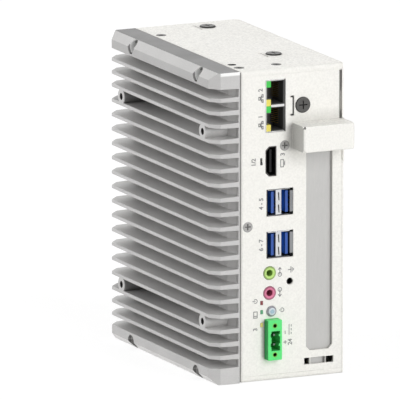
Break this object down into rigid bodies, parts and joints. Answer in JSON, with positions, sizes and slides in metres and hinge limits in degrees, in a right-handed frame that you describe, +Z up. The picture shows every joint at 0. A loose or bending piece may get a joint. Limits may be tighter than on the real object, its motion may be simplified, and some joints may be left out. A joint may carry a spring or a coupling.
{
  "type": "fanless industrial pc",
  "caption": "Narrow box computer with a finned heatsink side, sheet metal case, front connectors and a rear rail clip.",
  "frame": {"origin": "bottom centre of the overall box, on the plane the case stands on", "axes": "+Z up; the connector panel faces -Y, the heatsink fins face -X and the rail clip is at +Y"},
  "size_m": [0.0748, 0.1518, 0.1648],
  "materials": {
    "heatsink_metal": "fine blasted grey casting",
    "dark_steel": "dark zinc plated",
    "grey_steel": "bright zinc plated",
    "white_coat": "white textured powder coat",
    "plain_steel": "plain sheet",
    "plate_steel": "satin plated sheet",
    "port_shield": "bright stamped shield",
    "black_plastic": "matt moulded",
    "green_light": "clear tinted window",
    "yellow_light": "clear tinted window",
    "red_light": "clear tinted window",
    "gold_contact": "gold flashed",
    "blue_plastic": "moulded",
    "lime_plastic": "moulded",
    "pink_plastic": "moulded",
    "button_lens": "frosted lens",
    "button_ring": "moulded ring",
    "terminal_green": "moulded",
    "tinned_pin": "tinned",
    "board_green": "lacquered circuit board",
    "board_dark": "lacquered circuit board",
    "brass_post": "turned",
    "chip_black": "moulded package",
    "pad_grey": "soft pad",
    "spreader_metal": "milled",
    "coil_grey": "pressed powder",
    "can_metal": "drawn can",
    "clip_metal": "plain extruded",
    "latch_steel": "zinc plated",
    "spring_steel": "drawn wire"
  },
  "bodies": {
    "housing": {"heatsink": "heatsink_metal", "heatsink_screws": "dark_steel", "main_chassis": "white_coat", "front_panel": "white_coat", "back_panel": "white_coat", "side_cover": "white_coat", "cover_screws": "dark_steel", "top_screws": "dark_steel", "panel_screws": "grey_steel", "corner_bracket": "plain_steel", "slot_plate": "plate_steel", "slot_screw": "grey_steel", "network_port_shell": "port_shield", "network_port_insert": "black_plastic", "network_lights_green": "green_light", "network_lights_yellow": "yellow_light", "network_contacts": "gold_contact", "video_port_shell": "port_shield", "video_port_tongue": "black_plastic", "data_port_shells": "port_shield", "data_port_tongues": "blue_plastic", "audio_jack_out": "lime_plastic", "audio_jack_in": "pink_plastic", "earth_nut": "grey_steel", "status_light_red": "red_light", "status_light_green": "green_light", "status_light_yellow": "yellow_light", "power_button_bezel": "button_ring", "power_button_switch": "black_plastic", "mode_switch_body": "black_plastic", "power_terminal": "terminal_green", "power_terminal_pins": "tinned_pin", "main_board": "board_green", "board_posts": "brass_post", "board_screws": "grey_steel", "processor": "chip_black", "thermal_pad": "pad_grey", "heat_spreader": "spreader_metal", "spreader_screws": "grey_steel", "memory_socket": "black_plastic", "memory_module": "board_green", "storage_socket": "black_plastic", "storage_module": "board_dark", "storage_post": "brass_post", "storage_screw": "grey_steel", "cell_holder": "black_plastic", "coin_cell": "tinned_pin", "supply_coils": "coil_grey", "capacitors": "can_metal", "riser_card": "board_green", "riser_socket": "black_plastic", "board_link": "black_plastic", "riser_posts": "brass_post", "riser_screws": "grey_steel", "rail_clip": "clip_metal", "latch_spring": "spring_steel", "clip_screws": "grey_steel"},
    "power_button": {"power_button": "button_lens"},
    "mode_slider": {"mode_switch_slider": "black_plastic"},
    "rail_latch": {"rail_latch": "latch_steel"}
  },
  "joints": [
    {"name": "power_button_press", "type": "slide", "parent": "housing", "child": "power_button", "axis": [0, 1, 0], "range_m": [0, 0.0008], "stiffness_N_per_m": 500, "springref_m": -0.0006},
    {"name": "mode_switch_slide", "type": "slide", "parent": "housing", "child": "mode_slider", "axis": [0, 0, 1], "range_m": [0, 0.002]},
    {"name": "latch_release", "type": "slide", "parent": "housing", "child": "rail_latch", "axis": [0, 0, -1], "range_m": [0, 0.004], "stiffness_N_per_m": 2000, "springref_m": -0.002, "deforming": ["latch_spring"]}
  ]
}
